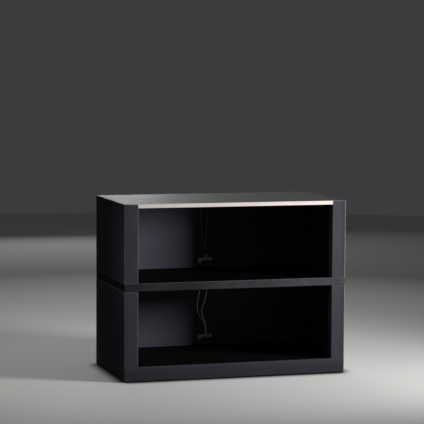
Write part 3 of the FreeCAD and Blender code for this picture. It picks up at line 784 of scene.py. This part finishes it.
class CABINET_OT_boards(bpy.types.Operator):
    """Satin lacquer on the boards and back panels"""

    bl_idname = "cabinet.boards"
    bl_label = "Boards"

    def execute(self, context):
        finish = context.scene.cabinet_finish
        grey = finish.lacquer
        black = finish.black_lacquer
        plinth = finish.base_lacquer
        satin = finish.lacquer_roughness
        matt = finish.side_roughness
        # Arrises lighter than the faces: wear and a painted highlight; edge and flank set how light
        dress(STILES, lacquer_finish(finish, "stile_lacquer", grey, satin, UPRIGHT, edge=1.4))
        dress(SIDES, lacquer_finish(
            finish, "side_lacquer", grey, matt, UPRIGHT, floor=Floor(grey, satin), edge=1.2, flank=3.2,
            under=1.0, shine=DULL_SHINE))
        dress(["top_panel"], lacquer_finish(finish, "top_lacquer", grey, satin, ACROSS, edge=2.5))
        dress(BACK_PANELS, lacquer_finish(finish, "back_lacquer", finish.back_lacquer, satin, UPRIGHT))
        # Base rails and deck painted lighter towards their top: painted shade towards the floor
        dress(BASE_RAILS, lacquer_finish(
            finish, "base_lacquer", plinth, matt, ACROSS, rise=BASE_PAINTED_SHADE, edge=1.4))
        deck_floor = Floor(scaled_colour(black, 0.65), finish.floor_roughness)
        # Deck's front arris painted darker than its face: painted shade on the rounding
        dress(["base_deck"], lacquer_finish(
            finish, "deck_lacquer", plinth, matt, ACROSS, floor=deck_floor, rise=BASE_PAINTED_SHADE, edge=0.15,
            dusting=0.003, shine=DULL_SHINE))
        middle_floor = Floor(scaled_colour(black, 0.25), finish.floor_roughness)
        front_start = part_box("middle_board")[0].z + FRONT_LIFT
        # The front's lacquer is painted darker to the left and lighter to the right: painted light and shade
        middle_front = Front(finish.middle_lacquer, finish.middle_roughness, front_start, FRONT_PAINTED_FALLOFF)
        dress(["middle_board"], lacquer_finish(
            finish, "middle_lacquer", scaled_colour(black, 0.4), matt, ACROSS, floor=middle_floor,
            front=middle_front, dusting=0.0008, shine=DULL_SHINE))
        dress(["base_corner_blocks"], raw_board_finish(finish))
        dress(DOWELS, beech_finish(finish))
        return {"FINISHED"}


class CABINET_OT_trim(bpy.types.Operator):
    """Satin metal on the trim of the top's front edge"""

    bl_idname = "cabinet.trim"
    bl_label = "Top trim"

    def execute(self, context):
        finish = context.scene.cabinet_finish
        dress(["top_trim"], drawn_metal_finish("satin_trim", finish.trim, finish.trim_roughness))
        return {"FINISHED"}


class CABINET_OT_fasteners(bpy.types.Operator):
    """Zinc plate on the screws, brackets and threaded inserts"""

    bl_idname = "cabinet.fasteners"
    bl_label = "Fasteners"

    def execute(self, context):
        finish = context.scene.cabinet_finish
        dark = scaled_colour(finish.zinc, 0.15)
        pale = scaled_colour(finish.zinc, 1.35)
        dress(SCREWS + ["foot_inserts"], zinc_finish("zinc_plate", finish.zinc, finish.zinc_roughness))
        dress(BRACKETS, zinc_finish("dark_zinc", dark, finish.bracket_roughness))
        dress(["bracket_screws"], zinc_finish("dull_zinc", pale, finish.bracket_screw_roughness))
        return {"FINISHED"}


class CABINET_OT_feet(bpy.types.Operator):
    """Moulded pads and threaded stems of the levelling feet"""

    bl_idname = "cabinet.feet"
    bl_label = "Levelling feet"

    def execute(self, context):
        finish = context.scene.cabinet_finish
        dress([f"foot_{place}_pad" for place in FOOT_PLACES], foot_finish(finish))
        dress([f"foot_{place}_stem" for place in FOOT_PLACES], thread_finish(finish))
        return {"FINISHED"}


class CABINET_OT_light_bars(bpy.types.Operator):
    """Channel, lamp tape and diffuser of each light bar"""

    bl_idname = "cabinet.light_bars"
    bl_label = "Light bars"

    def execute(self, context):
        finish = context.scene.cabinet_finish
        dress(CHANNELS, drawn_metal_finish("anodised_channel", finish.channel, finish.channel_roughness))
        dress(TAPES, tape_finish(finish))
        dress(DIFFUSERS, opal_finish(finish))
        return {"FINISHED"}


class CABINET_OT_connectors(bpy.types.Operator):
    """Connector blocks, plugs, end caps of the light bars, and grommets"""

    bl_idname = "cabinet.connectors"
    bl_label = "Connectors"

    def execute(self, context):
        finish = context.scene.cabinet_finish
        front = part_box(BLOCKS[0])[0].y
        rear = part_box(BLOCKS[0])[1].y
        dress(BLOCKS, moulding_finish(finish, "socket_moulding", front + SOCKET_DEPTH))
        dress(PLUGS + CAPS, moulding_finish(finish, "pale_moulding", rear))
        dress(GROMMETS, rubber_finish(finish))
        return {"FINISHED"}


class CABINET_OT_leads(bpy.types.Operator):
    """Leads that hang from the light bars to the connector blocks"""

    bl_idname = "cabinet.leads"
    bl_label = "Leads"

    def execute(self, context):
        leads = context.scene.cabinet_leads
        finish = context.scene.cabinet_finish
        pale = sheath_finish("pale_sheath", finish.sheath, BRIGHT_STRANDS)
        # Upper leads take a greyer copy of the sheath with duller strands: painted shade
        grey = sheath_finish("grey_sheath", scaled_colour(finish.sheath, 0.4), SHADED_STRANDS)
        for node, route in LEAD_ROUTES.items():
            curve = bpy.data.curves.new(node + "_line", "CURVE")
            curve.dimensions = "3D"
            curve.bevel_depth = leads.diameter / 2
            curve.bevel_resolution = leads.roundness
            curve.use_fill_caps = True
            curve.resolution_u = LEAD_STEPS
            spline = curve.splines.new("NURBS")
            spline.points.add(len(route) - 1)
            for point, place in zip(spline.points, route):
                point.co = (*place, 1.0)
            spline.order_u = 3
            spline.use_endpoint_u = True
            # Lower leads pale, upper leads the painted shade copy
            curve.materials.append(pale if node.startswith("lower") else grey)
            piece = bpy.data.objects.new(node + "_sheath", curve)
            context.scene.collection.objects.link(piece)
            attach(piece, "cabinet")
            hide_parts(node)
        return {"FINISHED"}


# Studio

def floor_finish(studio):
    """Plain pale floor that gives little light back to the cabinet."""
    material = bpy.data.materials.new("studio_floor")
    material.use_nodes = True
    tree = material.node_tree
    tree.nodes.remove(tree.nodes["Principled BSDF"])
    cloud = noise(tree, object_place(tree), 0.8, detail=4.0, roughness=0.6)
    colour = shaded(tree, cloud, studio.floor, 0.97, 1.0)
    reach = put(tree, "ShaderNodeVectorMath", operation="LENGTH")
    tree.links.new(put(tree, "ShaderNodeTexCoord").outputs["Object"], reach.inputs[0])
    far = ramp(tree, reach.outputs["Value"], FADE_START, studio.floor_fade)
    colour = tint(tree, far, colour, scaled_colour(studio.floor, FADED_TONE))
    # Painted contact shadow: ambient occlusion darkens the floor's colour near the cabinet
    near = put(tree, "ShaderNodeAmbientOcclusion", samples=16)
    near.inputs["Distance"].default_value = CONTACT_REACH
    clear = ramp(tree, near.outputs["AO"], 0.5, 0.95)
    colour = tint(tree, clear, scaled_colour(studio.floor, CONTACT_TONE), colour)
    lit = put(tree, "ShaderNodeBsdfDiffuse")
    tree.links.new(colour, lit.inputs["Color"])
    glow = put(tree, "ShaderNodeEmission")
    tree.links.new(colour, glow.inputs["Color"])
    glow.inputs["Strength"].default_value = studio.floor_glow
    seen = put(tree, "ShaderNodeAddShader")
    tree.links.new(lit.outputs[0], seen.inputs[0])
    tree.links.new(glow.outputs[0], seen.inputs[1])
    bounce = put(tree, "ShaderNodeBsdfDiffuse")
    bounce.inputs["Color"].default_value = (*scaled_colour(studio.floor, BOUNCE_TONE), 1.0)
    path = put(tree, "ShaderNodeLightPath").outputs
    shown = calc(tree, "MAXIMUM", path["Is Camera Ray"], path["Is Glossy Ray"])
    shown = calc(tree, "MAXIMUM", shown, path["Is Transmission Ray"])
    mix = put(tree, "ShaderNodeMixShader")
    tree.links.new(shown, mix.inputs[0])
    tree.links.new(bounce.outputs[0], mix.inputs[1])
    tree.links.new(seen.outputs[0], mix.inputs[2])
    tree.links.new(mix.outputs[0], tree.nodes["Material Output"].inputs["Surface"])
    return material


def add_floor(scene, studio):
    """Round floor under the cabinet."""
    mesh = bpy.data.meshes.new("studio_floor")
    step = 2 * math.pi / FLOOR_CORNERS
    radius = studio.floor_radius
    rim = [(radius * math.cos(step * i), radius * math.sin(step * i), 0.0) for i in range(FLOOR_CORNERS)]
    mesh.from_pydata(rim, [], [list(range(FLOOR_CORNERS))])
    mesh.materials.append(floor_finish(studio))
    floor = bpy.data.objects.new("studio_floor", mesh)
    scene.collection.objects.link(floor)


def add_lamp(scene, name, lamp, power):
    """Soft rectangular lamp aimed at its target."""
    light = bpy.data.lights.new(name, "AREA")
    light.shape = "RECTANGLE"
    light.size = lamp.width
    light.size_y = lamp.height
    light.energy = power
    light.spread = math.radians(lamp.spread)
    holder = bpy.data.objects.new(name, light)
    holder.location = lamp.place
    aim = Vector(lamp.target) - Vector(lamp.place)
    holder.rotation_euler = aim.to_track_quat("-Z", "Y").to_euler()
    holder.visible_camera = False
    scene.collection.objects.link(holder)


def add_camera(scene, lens):
    """Camera at the photograph's viewing angle."""
    data = bpy.data.cameras.new("photo_camera")
    data.lens = lens
    data.sensor_width = SENSOR_WIDTH
    data.sensor_fit = "HORIZONTAL"
    data.clip_end = CAMERA_REACH
    camera = bpy.data.objects.new("photo_camera", data)
    yaw, pitch, roll = (math.radians(angle) for angle in (CAMERA_YAW, CAMERA_PITCH, CAMERA_ROLL))
    turned = Euler((math.pi / 2 - pitch, 0.0, -yaw)).to_matrix() @ Matrix.Rotation(roll, 3, "Z")
    camera.matrix_world = Matrix.Translation(CAMERA_PLACE) @ turned.to_4x4()
    scene.collection.objects.link(camera)
    scene.camera = camera


class CABINET_OT_studio(bpy.types.Operator):
    """Floor, lamps, backdrop and camera"""

    bl_idname = "cabinet.studio"
    bl_label = "Studio"

    def execute(self, context):
        scene = context.scene
        studio = scene.cabinet_studio
        scene.view_settings.view_transform = "Standard"
        world = bpy.data.worlds.new("studio_backdrop")
        world.use_nodes = True
        world.node_tree.nodes["Background"].inputs["Color"].default_value = (*studio.backdrop, 1.0)
        scene.world = world
        add_floor(scene, studio)
        for name, lamp in LAMPS.items():
            add_lamp(scene, name + "_lamp", lamp, getattr(studio, name + "_power"))
        add_camera(scene, studio.lens)
        return {"FINISHED"}


# Add-on

OPERATORS = (
    CABINET_OT_studio,
    CABINET_OT_leads,
    CABINET_OT_boards,
    CABINET_OT_trim,
    CABINET_OT_fasteners,
    CABINET_OT_feet,
    CABINET_OT_light_bars,
    CABINET_OT_connectors,
)


class CABINET_PT_panel(bpy.types.Panel):
    """Settings and steps of the cabinet"""

    bl_label = "Cabinet"
    bl_idname = "CABINET_PT_panel"
    bl_space_type = "VIEW_3D"
    bl_region_type = "UI"
    bl_category = "Cabinet"

    def draw(self, context):
        layout = self.layout
        for name in ("cabinet_finish", "cabinet_leads", "cabinet_studio"):
            settings = getattr(context.scene, name)
            column = layout.column(heading=settings.bl_rna.name)
            for setting in settings.__annotations__:
                column.prop(settings, setting)
        for operator in OPERATORS:
            layout.operator(operator.bl_idname)


CLASSES = (CabinetFinish, CabinetLeads, CabinetStudio, *OPERATORS, CABINET_PT_panel)


def register():
    """Registers the classes and puts the settings on the scene."""
    for item in CLASSES:
        bpy.utils.register_class(item)
    bpy.types.Scene.cabinet_finish = bpy.props.PointerProperty(type=CabinetFinish)
    bpy.types.Scene.cabinet_leads = bpy.props.PointerProperty(type=CabinetLeads)
    bpy.types.Scene.cabinet_studio = bpy.props.PointerProperty(type=CabinetStudio)


def unregister():
    """Takes the settings and the classes away again."""
    del bpy.types.Scene.cabinet_studio
    del bpy.types.Scene.cabinet_leads
    del bpy.types.Scene.cabinet_finish
    for item in reversed(CLASSES):
        bpy.utils.unregister_class(item)


def main():
    """Builds the dressed cabinet and its studio."""
    register()
    bpy.ops.cabinet.studio()
    bpy.ops.cabinet.leads()
    bpy.ops.cabinet.boards()
    bpy.ops.cabinet.trim()
    bpy.ops.cabinet.fasteners()
    bpy.ops.cabinet.feet()
    bpy.ops.cabinet.light_bars()
    bpy.ops.cabinet.connectors()


if __name__ == "__main__":
    main()
